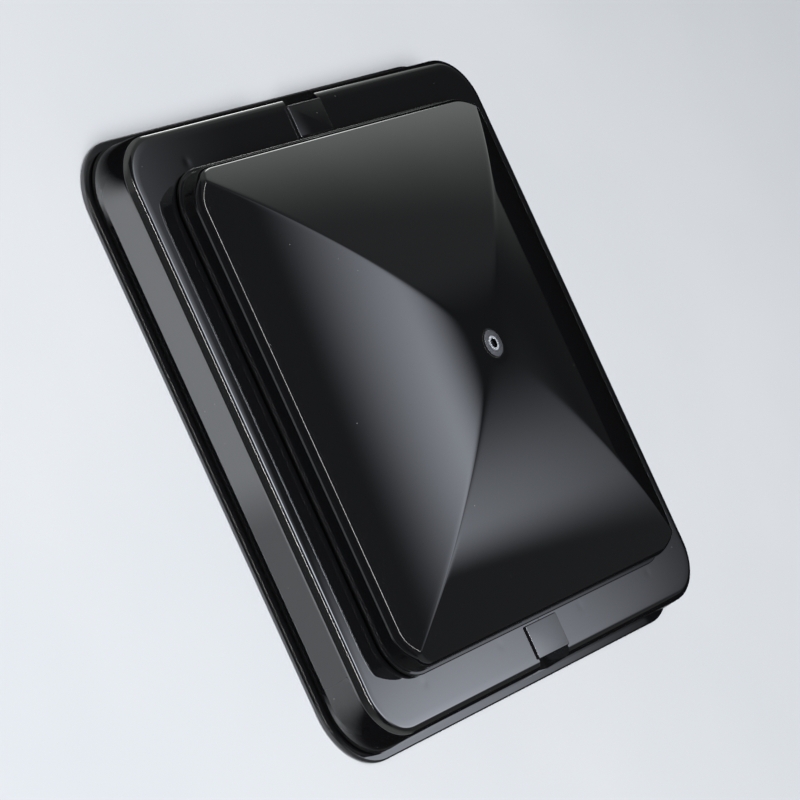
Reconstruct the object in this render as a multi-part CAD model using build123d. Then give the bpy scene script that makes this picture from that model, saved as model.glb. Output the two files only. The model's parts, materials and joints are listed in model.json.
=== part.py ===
from build123d import *
import math
import os

# Roof vent cover for a 14 inch roof opening. Millimetres, +Z up.
# The origin is at the centre of the flat underside.
# The X and Y halves are alike, so every level is a square given by its half width and corner radius.

# Base frame: a flange on the roof and an upstand round the opening
FLANGE_HALF = 229.0
FLANGE_RADIUS = 46.0
FLANGE_TOP = 4.0
FLANGE_ROUND = 1.2
GASKET_HALF = 221.0
GASKET_RADIUS = 38.0
GASKET_INNER_HALF = 180.0
GASKET_INNER_RADIUS = 12.0
GASKET_THICK = 2.0
GASKET_PLAY = 0.1
PLINTH_HALF = 222.0
PLINTH_INNER_HALF = 217.0
PLINTH_RADIUS = 39.0
PLINTH_TOP = 5.5
THROAT_HALF = 170.0
THROAT_RADIUS = 20.0
UPSTAND_THICK = 3.0
UPSTAND_TOP = 40.0
RAIN_LEDGE_HALF = 180.0
RAIN_LEDGE_THICK = 2.0
SCREEN_LEDGE_HALF = 160.0
SCREEN_LEDGE_RADIUS = 10.0
SCREEN_LEDGE_BOTTOM = 15.6
SCREEN_LEDGE_TOP = 18.6
ROOF_HOLE_RADIUS = 2.6
ROOF_HOLE_CORNER = 198.0
ROOF_HOLE_ROW = 206.0
ROOF_HOLE_STEP = 105.0
PEG_RADIUS = 2.5
PEG_TOP = 12.0
PEG_ROW = 193.0
PEG_STEPS = (-154.0, -55.0, 55.0, 154.0)

# Surround: a hollow trim ring in two halves, snapped on the pegs
FOOT_HALF = 224.0
FOOT_RADIUS = 41.0
FACE_Z = 36.5
WALL_LEAN = 6.4
FACE_ROUND = 6.5
SKIN = 2.5
SURROUND_INNER_HALF = 176.0
SURROUND_INNER_RADIUS = 22.0
SPLIT_GAP = 0.4
BOSS_RADIUS = 4.5
BOSS_BORE_RADIUS = 2.55
BOSS_BOTTOM = 4.2
BOSS_BORE_TOP = 14.0

# Joint pocket, clip and clip screw at the middle of the two Y sides
POCKET_HALF_WIDTH = 20.0
POCKET_FLOOR_TOP = 12.0
POCKET_SKIN = 1.6
POCKET_BACK = 204.0
POCKET_MOUTH = 232.0
POCKET_WINDOW_HALF = 11.0
CLIP_HALF_WIDTH = 20.75
CLIP_INNER = 188.8
CLIP_OUTER = 213.8
CLIP_THICK = 1.6
CLIP_ROUND = 0.6
LEG_HALF_WIDTH = 10.0
LEG_INNER = 198.1
LEG_OUTER = 200.6
LEG_BOTTOM = 12.5
LEG_SLOT_PLAY = 0.3
LUG_HALF_WIDTH = 12.0
LUG_INNER = 188.0
LUG_OUTER = 198.0
LUG_TOP = 28.0
CLIP_SCREW_Z = 21.0
CLIP_SCREW_RADIUS = 2.0
CLIP_SCREW_HEAD_RADIUS = 4.0
CLIP_SCREW_HEAD_THICK = 2.4
CLIP_SCREW_END = 189.5
SCREW_PLAY = 0.05
SCREW_SLOT_WIDTH = 1.0
HOLE_END_PLAY = 0.2

# Rain seal on the upstand and the cap above it
SEAL_INNER_HALF = 170.5
SEAL_OUTER_HALF = 179.0
SEAL_RADIUS = 21.0
SEAL_TOP = 46.0
CAP_RIM_HALF = 187.5
CAP_RIM_RADIUS = 33.0
CAP_BOTTOM = 38.0
CAP_RIM_TOP = 40.6
CAP_RIM_ROUND = 0.9
CAP_WALL_HALF = 184.8
CAP_WALL_RADIUS = 30.5
CAP_APEX = 98.9
CAP_ARC_RADIUS = 395.0
CAP_SHOULDER_ROUND = 7.0
CAP_SKIN = 3.0
CAP_FLAT_Z = 97.4
CAP_FLAT_RADIUS = 12.5
RIB_OUTER_HALF = 176.5
RIB_THICK = 3.0
RIB_RADIUS = 22.0
RIB_BOTTOM = 46.3

# Lift drive on the centre line
PLATE_HALF_X = 72.0
PLATE_HALF_Y = 30.0
PLATE_CORNER = 10.0
PLATE_BOTTOM = 84.0
PLATE_TOP = 88.0
CENTRE_BOSS_RADIUS = 13.0
PLATE_BOSS_RADIUS = 5.0
PLATE_SCREW_X = 40.0
PLATE_SCREW_Y = 19.0
PLATE_SCREW_RADIUS = 2.0
PLATE_SCREW_HEAD_RADIUS = 4.0
PLATE_SCREW_HEAD_THICK = 2.4
PLATE_SCREW_TOP = 92.0
CENTRE_SCREW_RADIUS = 3.0
CENTRE_SCREW_BOTTOM = 72.0
CENTRE_HEAD_RADIUS = 5.6
CENTRE_HEAD_LAND = 0.4
CENTRE_HEAD_PROUD = 0.2
CENTRE_RECESS_RADIUS = 3.7
CENTRE_RECESS_DEPTH = 1.8
HEAD_PLAY = 0.07
SEALING_WASHER_RADIUS = 10.5
SEALING_WASHER_THICK = 0.8
SEALING_WASHER_BORE_RADIUS = 4.6
CAP_ENTRY_RADIUS = 3.8
CAP_ENTRY_DEPTH = 1.0
WASHER_RADIUS = 10.0
WASHER_THICK = 1.3
WASHER_ROUND = 0.4
SPINDLE_RADIUS = 6.0
SPINDLE_BOTTOM = 12.0
SPINDLE_COLLAR_RADIUS = 10.0
SPINDLE_COLLAR_BOTTOM = 79.0
THREAD_GROOVE_DEPTH = 0.8
THREAD_PITCH = 3.0
THREAD_TOP = 76.0
PIN_X = 60.0
PIN_RADIUS = 4.0
PIN_BOTTOM = 18.0
PIN_SHOULDER_RADIUS = 6.5
PIN_SHOULDER_THICK = 3.0
PIN_CHAMFER = 1.0
PIN_CLEARANCE = 0.8
BUSH_OUTER_RADIUS = 6.5
BUSH_FLANGE_RADIUS = 8.5
BUSH_FLANGE_THICK = 1.5
BUSH_BOTTOM = 44.0
BUSH_TOP = 58.0
RUNNING_PLAY = 0.06

# Cross bar that carries the drive in the throat
BAR_HALF_WIDTH = 15.0
BAR_BOTTOM = 34.0
BAR_TOP = 42.0
BAR_END = 169.0
BAR_WEB_OUTER = 152.0
BAR_WEB_THICK = 7.0
BAR_FOOT_TOP = 25.0
BAR_SCREW_X = 164.0
BAR_SCREW_Y = 9.0
BAR_SCREW_BOTTOM = 16.2
BAR_SCREW_RADIUS = 2.0
BAR_SCREW_HEAD_RADIUS = 3.8
BAR_SCREW_HEAD_THICK = 2.4
BAR_LIGHTENING_X = 106.0
BAR_LIGHTENING_LENGTH = 52.0
BAR_LIGHTENING_WIDTH = 14.0
HUB_RADIUS = 22.0
HUB_TOP = 54.0
GUIDE_BOSS_RADIUS = 11.0
GUIDE_BOSS_TOP = 56.4

# Hand knob with its lift nut
NECK_RADIUS = 14.0
NECK_TOP = 60.0
NECK_BORE_RADIUS = 6.8
NECK_BORE_BOTTOM = 6.0
NUT_RADIUS = 10.0
NUT_BOTTOM = 45.0
COLLAR_RADIUS = 19.0
COLLAR_BOTTOM = 28.0
COLLAR_TOP = 32.8
THRUST_WASHER_TOP = 33.8
RING_BOTTOM = 54.3
RING_TOP = 55.7
RING_RADIUS = 17.5
RING_GROOVE_RADIUS = 12.6
RING_GAP_WIDTH = 6.0
GRIP_RADIUS = 42.0
GRIP_BOTTOM = 3.0
GRIP_TOP = 13.5
GRIP_ROUND = 3.0
FLUTE_COUNT = 10
FLUTE_RADIUS = 9.0
FLUTE_CENTRE = 47.0

# Insect screen under the throat ledge
SCREEN_FRAME_HALF = 168.5
SCREEN_FRAME_RADIUS = 18.5
SCREEN_FRAME_INNER_HALF = 156.0
SCREEN_FRAME_INNER_RADIUS = 8.0
SCREEN_FRAME_BOTTOM = 11.0
SCREEN_FRAME_TOP = 15.0
SCREEN_RIB_WIDTH = 9.0
SCREEN_RING_RADIUS = 53.0
SCREEN_RING_BORE = 44.0
MESH_BORE = 21.0
MESH_BOTTOM = 15.05
MESH_TOP = 15.55
MESH_HALF = 166.0
SCREEN_SCREW_ROW = 163.0
SCREEN_SCREW_STEP = 100.0
SCREEN_SCREW_RADIUS = 1.5
SCREEN_SCREW_HEAD_RADIUS = 3.2
SCREEN_SCREW_HEAD_THICK = 2.0
SCREEN_SCREW_TOP = 18.0
SCREEN_SCREW_SLOT_WIDTH = 0.8

SIDES = (-1, 1)
CUT = 1.0
LEVEL = 0.01


def block(half, radius, bottom, top):
    """A square block with rounded corners between two heights."""
    return Pos(0, 0, bottom) * extrude(RectangleRounded(2 * half, 2 * half, radius), top - bottom)


def ring(outer, outer_radius, inner, inner_radius, bottom, top):
    """A square frame with rounded corners between two heights."""
    return block(outer, outer_radius, bottom, top) - block(inner, inner_radius, bottom - CUT, top + CUT)


def post(x, y, radius, bottom, top):
    """An upright cylinder."""
    return Pos(x, y, (bottom + top) / 2) * Cylinder(radius, top - bottom)


def cuboid(x0, x1, y0, y1, z0, z1):
    """A box given by its limits along each axis."""
    return Pos((x0 + x1) / 2, (y0 + y1) / 2, (z0 + z1) / 2) * Box(x1 - x0, y1 - y0, z1 - z0)


def on_side(solid, side):
    """A piece drawn for the +Y joint, turned to the joint named by its sign."""
    return solid if side > 0 else Rot(0, 0, 180) * solid


def peg_points():
    """The pegs stand in four rows, one along each side."""
    rows = [(step, side * PEG_ROW) for side in SIDES for step in PEG_STEPS]
    return rows + [(y, x) for x, y in rows]


def roof_points():
    """Roof screw holes: the four corners, then two rectangles between them."""
    corners = [(a * ROOF_HOLE_CORNER, b * ROOF_HOLE_CORNER) for a in SIDES for b in SIDES]
    rows = [(a * ROOF_HOLE_STEP, b * ROOF_HOLE_ROW) for a in SIDES for b in SIDES]
    return corners + rows + [(y, x) for x, y in rows]


def screen_points():
    """Screen screws stand in pairs along each side."""
    rows = [(a * SCREEN_SCREW_STEP, b * SCREEN_SCREW_ROW) for a in SIDES for b in SIDES]
    return rows + [(y, x) for x, y in rows]


def bar_points():
    """Cross bar screws, two at each end."""
    return [(a * BAR_SCREW_X, b * BAR_SCREW_Y) for a in SIDES for b in SIDES]


def plate_points():
    """Spreader plate screws."""
    return [(a * PLATE_SCREW_X, b * PLATE_SCREW_Y) for a in SIDES for b in SIDES]


def edges_at(solid, height):
    """The edges that lie flat at one height."""
    found = []
    for edge in solid.edges():
        box = edge.bounding_box()
        if box.min.Z > height - LEVEL and box.max.Z < height + LEVEL:
            found.append(edge)
    return found


def make_base_frame():
    frame = block(FLANGE_HALF, FLANGE_RADIUS, 0, FLANGE_TOP)
    frame = fillet(edges_at(frame, FLANGE_TOP), FLANGE_ROUND)
    frame += ring(
        PLINTH_HALF,
        PLINTH_RADIUS,
        PLINTH_INNER_HALF,
        PLINTH_RADIUS,
        FLANGE_TOP,
        PLINTH_TOP,
    )
    upstand = THROAT_HALF + UPSTAND_THICK
    frame += block(upstand, THROAT_RADIUS + UPSTAND_THICK, 0, UPSTAND_TOP)
    ledge_radius = THROAT_RADIUS + RAIN_LEDGE_HALF - THROAT_HALF
    frame += block(RAIN_LEDGE_HALF, ledge_radius, UPSTAND_TOP - RAIN_LEDGE_THICK, UPSTAND_TOP)
    frame -= block(THROAT_HALF, THROAT_RADIUS, -CUT, UPSTAND_TOP + CUT)
    frame += ring(
        upstand,
        THROAT_RADIUS,
        SCREEN_LEDGE_HALF,
        SCREEN_LEDGE_RADIUS,
        SCREEN_LEDGE_BOTTOM,
        SCREEN_LEDGE_TOP,
    )
    frame -= ring(
        GASKET_HALF + GASKET_PLAY,
        GASKET_RADIUS,
        GASKET_INNER_HALF - GASKET_PLAY,
        GASKET_INNER_RADIUS,
        -CUT,
        GASKET_THICK,
    )
    for side in SIDES:
        lug = cuboid(
            -LUG_HALF_WIDTH, LUG_HALF_WIDTH, LUG_INNER, LUG_OUTER, FLANGE_TOP - CUT, LUG_TOP
        )
        lug -= clip_screw_shank(CLIP_SCREW_RADIUS + SCREW_PLAY, CLIP_SCREW_END - CUT)
        frame += on_side(lug, side)
    for x, y in peg_points():
        frame += post(x, y, PEG_RADIUS, FLANGE_TOP - CUT, PEG_TOP)
    for x, y in roof_points():
        frame -= post(x, y, ROOF_HOLE_RADIUS, -CUT, FLANGE_TOP + CUT)
    screen_hole = SCREEN_SCREW_RADIUS + SCREW_PLAY
    for x, y in screen_points():
        frame -= post(x, y, screen_hole, SCREEN_LEDGE_BOTTOM - CUT, SCREEN_LEDGE_TOP + CUT)
    bar_hole = BAR_SCREW_RADIUS + SCREW_PLAY
    for x, y in bar_points():
        frame -= post(x, y, bar_hole, BAR_SCREW_BOTTOM - HOLE_END_PLAY, SCREEN_LEDGE_TOP + CUT)
    return frame


def make_roof_gasket():
    gasket = ring(
        GASKET_HALF, GASKET_RADIUS, GASKET_INNER_HALF, GASKET_INNER_RADIUS, 0, GASKET_THICK
    )
    for x, y in roof_points():
        gasket -= post(x, y, ROOF_HOLE_RADIUS, -CUT, GASKET_THICK + CUT)
    return gasket


def make_coaming_seal():
    outer_radius = SEAL_RADIUS + SEAL_OUTER_HALF - SEAL_INNER_HALF
    return ring(SEAL_OUTER_HALF, outer_radius, SEAL_INNER_HALF, SEAL_RADIUS, UPSTAND_TOP, SEAL_TOP)


def leaning_block(half, radius, bottom, top):
    """A square block whose walls lean inward as they rise."""
    sketch = RectangleRounded(2 * half, 2 * half, radius)
    return Pos(0, 0, bottom) * extrude(sketch, top - bottom, taper=WALL_LEAN)


def make_surround():
    body = leaning_block(FOOT_HALF, FOOT_RADIUS, PLINTH_TOP, FACE_Z)
    body = fillet(edges_at(body, FACE_Z), FACE_ROUND)
    inside = leaning_block(FOOT_HALF - SKIN, FOOT_RADIUS - SKIN, PLINTH_TOP, FACE_Z - SKIN)
    inside = fillet(edges_at(inside, FACE_Z - SKIN), FACE_ROUND - SKIN)
    lip = SURROUND_INNER_HALF + SKIN
    body -= inside - block(lip, SURROUND_INNER_RADIUS + SKIN, 0, FACE_Z)
    body += block(lip, SURROUND_INNER_RADIUS + SKIN, FLANGE_TOP, FACE_Z - SKIN)
    body -= block(SURROUND_INNER_HALF, SURROUND_INNER_RADIUS, 0, FACE_Z + CUT)
    for x, y in peg_points():
        body += post(x, y, BOSS_RADIUS, BOSS_BOTTOM, FACE_Z - SKIN / 2)
        body -= post(x, y, BOSS_BORE_RADIUS, 0, BOSS_BORE_TOP)
    wall_trim = leaning_block(FOOT_HALF, FOOT_RADIUS, PLINTH_TOP, FACE_Z)
    pocket = pocket_block(POCKET_HALF_WIDTH + POCKET_SKIN, POCKET_SKIN, FACE_Z - SKIN / 2) & wall_trim
    for side in SIDES:
        body += on_side(pocket, side)
        body -= on_side(pocket_cuts(), side)
    return body


def pocket_block(half_width, margin, top):
    """The screw pocket as a block out through the wall, larger than the space by the margin."""
    floor = POCKET_FLOOR_TOP - margin
    back = POCKET_BACK - margin
    return cuboid(-half_width, half_width, back, POCKET_MOUTH, floor, top)


def pocket_cuts():
    """The pocket's space, its mouth in the wall, the window behind it and the slot for the clip's leg."""
    cuts = pocket_block(POCKET_HALF_WIDTH, 0, FACE_Z - SKIN)
    cuts += cuboid(
        -POCKET_HALF_WIDTH,
        POCKET_HALF_WIDTH,
        CLIP_OUTER,
        POCKET_MOUTH,
        POCKET_FLOOR_TOP,
        FACE_Z + CUT,
    )
    cuts += cuboid(
        -POCKET_WINDOW_HALF,
        POCKET_WINDOW_HALF,
        POCKET_BACK - POCKET_SKIN - CUT,
        POCKET_BACK + CUT,
        POCKET_FLOOR_TOP,
        FACE_Z - SKIN,
    )
    cuts += cuboid(
        -LEG_HALF_WIDTH - LEG_SLOT_PLAY,
        LEG_HALF_WIDTH + LEG_SLOT_PLAY,
        LEG_INNER - LEG_SLOT_PLAY,
        LEG_OUTER + LEG_SLOT_PLAY,
        FACE_Z - 2 * SKIN,
        FACE_Z + CUT,
    )
    return cuts


def surround_half(body, side):
    """Each half keeps one side of the joint plane, short of it by half the gap."""
    reach = FOOT_HALF + CUT
    start = SPLIT_GAP / 2
    limits = (start, reach) if side > 0 else (-reach, -start)
    return body & cuboid(limits[0], limits[1], -reach, reach, 0, FACE_Z + CUT)


def clip_screw_shank(radius, end):
    """A horizontal cylinder along the +Y clip screw, from the leg's outer face to its end."""
    length = LEG_OUTER + CUT - end
    return Pos(0, end + length / 2, CLIP_SCREW_Z) * Rot(90, 0, 0) * Cylinder(radius, length)


def make_joint_clip(side):
    top = FACE_Z + CLIP_THICK
    plate = cuboid(-CLIP_HALF_WIDTH, CLIP_HALF_WIDTH, CLIP_INNER, CLIP_OUTER, FACE_Z, top)
    plate = fillet(edges_at(plate, top), CLIP_ROUND)
    leg_top = FACE_Z + CLIP_THICK / 2
    leg = cuboid(-LEG_HALF_WIDTH, LEG_HALF_WIDTH, LEG_INNER, LEG_OUTER, LEG_BOTTOM, leg_top)
    clip = plate + leg
    clip -= clip_screw_shank(CLIP_SCREW_RADIUS + SCREW_PLAY, LEG_INNER - CUT)
    return on_side(clip, side)


def make_clip_screws():
    screws = []
    for side in SIDES:
        length = LEG_OUTER - CLIP_SCREW_END
        shank = Pos(0, CLIP_SCREW_END + length / 2, CLIP_SCREW_Z) * Rot(90, 0, 0)
        screw = shank * Cylinder(CLIP_SCREW_RADIUS, length)
        head_y = LEG_OUTER + CLIP_SCREW_HEAD_THICK / 2
        head = Pos(0, head_y, CLIP_SCREW_Z) * Rot(90, 0, 0)
        screw += head * Cylinder(CLIP_SCREW_HEAD_RADIUS, CLIP_SCREW_HEAD_THICK)
        slot_y = LEG_OUTER + CLIP_SCREW_HEAD_THICK
        slot = Box(2 * CLIP_SCREW_HEAD_RADIUS, CLIP_SCREW_HEAD_THICK, SCREW_SLOT_WIDTH)
        screw -= Pos(0, slot_y, CLIP_SCREW_Z) * slot
        screws.append(on_side(screw, side))
    return Compound(screws)


def arched(half, radius, bottom, arc_radius, apex):
    """A square block under two crossed barrel arcs, which meet in four ridges."""
    length = 2 * (half + CUT)
    centre = apex - arc_radius
    along_x = Pos(0, 0, centre) * Rot(0, 90, 0) * Cylinder(arc_radius, length)
    along_y = Pos(0, 0, centre) * Rot(90, 0, 0) * Cylinder(arc_radius, length)
    return block(half, radius, bottom, apex + CUT) & along_x & along_y


def shoulder_edges(solid):
    """The edges where the upright wall meets the arcs. The ridges' middles lie much nearer the centre."""
    found = []
    for edge in solid.edges():
        middle = edge @ 0.5
        outside = max(abs(middle.X), abs(middle.Y)) > CAP_WALL_HALF - CAP_WALL_RADIUS / 2
        if outside and edge.bounding_box().min.Z > CAP_RIM_TOP + CUT:
            found.append(edge)
    return found


def make_cap_shell():
    cap = arched(CAP_WALL_HALF, CAP_WALL_RADIUS, CAP_BOTTOM, CAP_ARC_RADIUS, CAP_APEX)
    cap = fillet(shoulder_edges(cap), CAP_SHOULDER_ROUND)
    rim = block(CAP_RIM_HALF, CAP_RIM_RADIUS, CAP_BOTTOM, CAP_RIM_TOP)
    cap += fillet(edges_at(rim, CAP_RIM_TOP), CAP_RIM_ROUND)
    cap -= post(0, 0, CAP_FLAT_RADIUS, CAP_FLAT_Z, CAP_APEX + CUT)
    inner_radius = CAP_ARC_RADIUS - CAP_SKIN
    inside_half = CAP_WALL_HALF - CAP_SKIN
    inside_corner = CAP_WALL_RADIUS - CAP_SKIN
    inner_apex = CAP_APEX - CAP_SKIN
    cap -= arched(inside_half, inside_corner, CAP_BOTTOM - CUT, inner_radius, inner_apex)
    rib = ring(
        RIB_OUTER_HALF,
        RIB_RADIUS,
        RIB_OUTER_HALF - RIB_THICK,
        RIB_RADIUS - RIB_THICK,
        RIB_BOTTOM,
        CAP_APEX,
    )
    bosses = post(0, 0, CENTRE_BOSS_RADIUS, PLATE_TOP, CAP_APEX)
    for x, y in plate_points():
        bosses += post(x, y, PLATE_BOSS_RADIUS, PLATE_TOP, CAP_APEX)
    into_skin = CAP_SKIN / 2
    trim = arched(
        inside_half, inside_corner, CAP_BOTTOM, inner_radius + into_skin, inner_apex + into_skin
    )
    cap += rib & trim
    cap += bosses & trim
    cap -= post(0, 0, CENTRE_SCREW_RADIUS + 2 * SCREW_PLAY, CAP_BOTTOM, CAP_APEX + CUT)
    cap -= post(0, 0, CAP_ENTRY_RADIUS, CAP_FLAT_Z - CAP_ENTRY_DEPTH, CAP_APEX + CUT)
    plate_hole = PLATE_SCREW_RADIUS + SCREW_PLAY
    for x, y in plate_points():
        cap -= post(x, y, plate_hole, PLATE_TOP - CUT, PLATE_SCREW_TOP + HOLE_END_PLAY)
    return cap


def make_spreader_plate():
    sketch = RectangleRounded(2 * PLATE_HALF_X, 2 * PLATE_HALF_Y, PLATE_CORNER)
    plate = Pos(0, 0, PLATE_BOTTOM) * extrude(sketch, PLATE_TOP - PLATE_BOTTOM)
    low, high = PLATE_BOTTOM - CUT, PLATE_TOP + CUT
    plate -= post(0, 0, CENTRE_SCREW_RADIUS + SCREW_PLAY, low, high)
    for x, y in plate_points():
        plate -= post(x, y, PLATE_SCREW_RADIUS + SCREW_PLAY, low, high)
    for side in SIDES:
        plate -= post(side * PIN_X, 0, PIN_RADIUS + SCREW_PLAY, low, high)
    return plate


def make_plate_screws():
    screws = []
    for x, y in plate_points():
        head_bottom = PLATE_BOTTOM - PLATE_SCREW_HEAD_THICK
        screw = post(x, y, PLATE_SCREW_HEAD_RADIUS, head_bottom, PLATE_BOTTOM)
        screw += post(x, y, PLATE_SCREW_RADIUS, PLATE_BOTTOM, PLATE_SCREW_TOP)
        slot = Box(2 * PLATE_SCREW_HEAD_RADIUS, SCREW_SLOT_WIDTH, PLATE_SCREW_HEAD_THICK)
        screw -= Pos(x, y, head_bottom) * slot
        screws.append(screw)
    return Compound(screws)


def countersunk(radius, shank_radius, top):
    """A flat screw head at 45 degrees: a short land at the top, then a cone down to the shank."""
    depth = radius - shank_radius
    cone_top = top - CENTRE_HEAD_LAND
    head = post(0, 0, radius, cone_top, top)
    return head + Pos(0, 0, cone_top - depth / 2) * Cone(shank_radius, radius, depth)


def make_centre_screw():
    top = CAP_FLAT_Z + SEALING_WASHER_THICK + WASHER_THICK + CENTRE_HEAD_PROUD
    screw = countersunk(CENTRE_HEAD_RADIUS, CENTRE_SCREW_RADIUS, top)
    screw += post(0, 0, CENTRE_SCREW_RADIUS, CENTRE_SCREW_BOTTOM, top - CENTRE_RECESS_DEPTH)
    hexagon = RegularPolygon(CENTRE_RECESS_RADIUS, 6)
    screw -= Pos(0, 0, top - CENTRE_RECESS_DEPTH) * extrude(hexagon, CENTRE_RECESS_DEPTH + CUT)
    return screw


def make_centre_washer():
    """A round washer sunk for the flat screw head."""
    bottom = CAP_FLAT_Z + SEALING_WASHER_THICK
    top = bottom + WASHER_THICK
    washer = post(0, 0, WASHER_RADIUS, bottom, top)
    washer = fillet(edges_at(washer, top), WASHER_ROUND)
    hole = CENTRE_SCREW_RADIUS + HEAD_PLAY
    return washer - countersunk(CENTRE_HEAD_RADIUS + HEAD_PLAY, hole, top + CENTRE_HEAD_PROUD)


def make_sealing_washer():
    top = CAP_FLAT_Z + SEALING_WASHER_THICK
    washer = post(0, 0, SEALING_WASHER_RADIUS, CAP_FLAT_Z, top)
    return washer - post(0, 0, SEALING_WASHER_BORE_RADIUS, CAP_FLAT_Z - CUT, top + CUT)


def make_lift_spindle():
    spindle = post(0, 0, SPINDLE_RADIUS, SPINDLE_BOTTOM, PLATE_BOTTOM)
    spindle = chamfer(edges_at(spindle, SPINDLE_BOTTOM), THREAD_GROOVE_DEPTH)
    spindle += post(0, 0, SPINDLE_COLLAR_RADIUS, SPINDLE_COLLAR_BOTTOM, PLATE_BOTTOM)
    groove_count = int((THREAD_TOP - SPINDLE_BOTTOM) / THREAD_PITCH)
    for index in range(1, groove_count):
        low = SPINDLE_BOTTOM + index * THREAD_PITCH
        groove = post(0, 0, SPINDLE_RADIUS + CUT, low, low + THREAD_PITCH / 2)
        core = post(0, 0, SPINDLE_RADIUS - THREAD_GROOVE_DEPTH, low - CUT, low + THREAD_PITCH)
        spindle -= groove - core
    bore_bottom = CENTRE_SCREW_BOTTOM - CUT
    spindle -= post(0, 0, CENTRE_SCREW_RADIUS + SCREW_PLAY, bore_bottom, PLATE_BOTTOM + CUT)
    return spindle


def make_guide_pins():
    pins = []
    for side in SIDES:
        x = side * PIN_X
        pin = post(x, 0, PIN_RADIUS, PIN_BOTTOM, PLATE_TOP)
        pin = chamfer(edges_at(pin, PIN_BOTTOM), PIN_CHAMFER)
        shoulder_bottom = PLATE_BOTTOM - PIN_SHOULDER_THICK
        pin += post(x, 0, PIN_SHOULDER_RADIUS, shoulder_bottom, PLATE_BOTTOM)
        pins.append(pin)
    return Compound(pins)


def make_guide_bushes():
    bushes = []
    for side in SIDES:
        x = side * PIN_X
        bush = post(x, 0, BUSH_OUTER_RADIUS, BUSH_BOTTOM, BUSH_TOP)
        bush += post(x, 0, BUSH_FLANGE_RADIUS, BUSH_TOP - BUSH_FLANGE_THICK, BUSH_TOP)
        bush -= post(x, 0, PIN_RADIUS + RUNNING_PLAY, BUSH_BOTTOM - CUT, BUSH_TOP + CUT)
        bushes.append(bush)
    return Compound(bushes)


def make_cross_bar():
    wide = BAR_HALF_WIDTH
    bar = cuboid(-BAR_WEB_OUTER, BAR_WEB_OUTER, -wide, wide, BAR_BOTTOM, BAR_TOP)
    window = extrude(
        SlotOverall(BAR_LIGHTENING_LENGTH, BAR_LIGHTENING_WIDTH), BAR_TOP - BAR_BOTTOM + 2 * CUT
    )
    for side in SIDES:
        web_inner = side * (BAR_WEB_OUTER - BAR_WEB_THICK)
        web = sorted((side * BAR_WEB_OUTER, web_inner))
        bar += cuboid(web[0], web[1], -wide, wide, SCREEN_LEDGE_TOP, BAR_TOP)
        foot = sorted((side * BAR_END, web_inner))
        bar += cuboid(foot[0], foot[1], -wide, wide, SCREEN_LEDGE_TOP, BAR_FOOT_TOP)
        bar -= Pos(side * BAR_LIGHTENING_X, 0, BAR_BOTTOM - CUT) * window
        bar += post(side * PIN_X, 0, GUIDE_BOSS_RADIUS, BAR_BOTTOM, GUIDE_BOSS_TOP)
    bar += post(0, 0, HUB_RADIUS, BAR_BOTTOM, HUB_TOP)
    bar -= post(0, 0, NECK_RADIUS + RUNNING_PLAY, BAR_BOTTOM - CUT, HUB_TOP + CUT)
    for side in SIDES:
        x = side * PIN_X
        bar -= post(x, 0, BUSH_OUTER_RADIUS + SCREW_PLAY / 2, BUSH_BOTTOM, GUIDE_BOSS_TOP + CUT)
        bar -= post(x, 0, PIN_RADIUS + PIN_CLEARANCE, BAR_BOTTOM - CUT, BUSH_BOTTOM + CUT)
    screw_hole = BAR_SCREW_RADIUS + SCREW_PLAY
    for x, y in bar_points():
        bar -= post(x, y, screw_hole, SCREEN_LEDGE_TOP - CUT, BAR_FOOT_TOP + CUT)
    return bar


def make_bar_screws():
    screws = []
    for x, y in bar_points():
        head_top = BAR_FOOT_TOP + BAR_SCREW_HEAD_THICK
        screw = post(x, y, BAR_SCREW_RADIUS, BAR_SCREW_BOTTOM, BAR_FOOT_TOP)
        screw += post(x, y, BAR_SCREW_HEAD_RADIUS, BAR_FOOT_TOP, head_top)
        slot = Box(2 * BAR_SCREW_HEAD_RADIUS, SCREW_SLOT_WIDTH, BAR_SCREW_HEAD_THICK)
        screw -= Pos(x, y, head_top) * slot
        screws.append(screw)
    return Compound(screws)


def make_hand_knob():
    grip = post(0, 0, GRIP_RADIUS, GRIP_BOTTOM, GRIP_TOP)
    for index in range(FLUTE_COUNT):
        angle = 2 * math.pi * index / FLUTE_COUNT
        x = FLUTE_CENTRE * math.cos(angle)
        y = FLUTE_CENTRE * math.sin(angle)
        grip -= post(x, y, FLUTE_RADIUS, GRIP_BOTTOM - CUT, GRIP_TOP + CUT)
    grip = fillet(edges_at(grip, GRIP_BOTTOM), GRIP_ROUND)
    grip = fillet(edges_at(grip, GRIP_TOP), GRIP_ROUND)
    knob = grip + post(0, 0, NECK_RADIUS, GRIP_TOP - CUT, NECK_TOP)
    knob += post(0, 0, COLLAR_RADIUS, COLLAR_BOTTOM, COLLAR_TOP)
    knob -= post(0, 0, NECK_BORE_RADIUS, NECK_BORE_BOTTOM, NECK_TOP + CUT)
    knob -= post(0, 0, NUT_RADIUS + SCREW_PLAY / 2, NUT_BOTTOM, NECK_TOP + CUT)
    groove = post(0, 0, NECK_RADIUS + CUT, RING_BOTTOM, RING_TOP)
    knob -= groove - post(0, 0, RING_GROOVE_RADIUS, RING_BOTTOM - CUT, RING_TOP + CUT)
    return knob


def make_lift_nut():
    nut = post(0, 0, NUT_RADIUS, NUT_BOTTOM, NECK_TOP)
    nut -= post(0, 0, SPINDLE_RADIUS + RUNNING_PLAY, NUT_BOTTOM - CUT, NECK_TOP + CUT)
    return nut


def make_thrust_washer():
    washer = post(0, 0, COLLAR_RADIUS, COLLAR_TOP, THRUST_WASHER_TOP)
    washer -= post(0, 0, NECK_RADIUS + SCREW_PLAY, COLLAR_TOP - CUT, THRUST_WASHER_TOP + CUT)
    return washer


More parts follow.
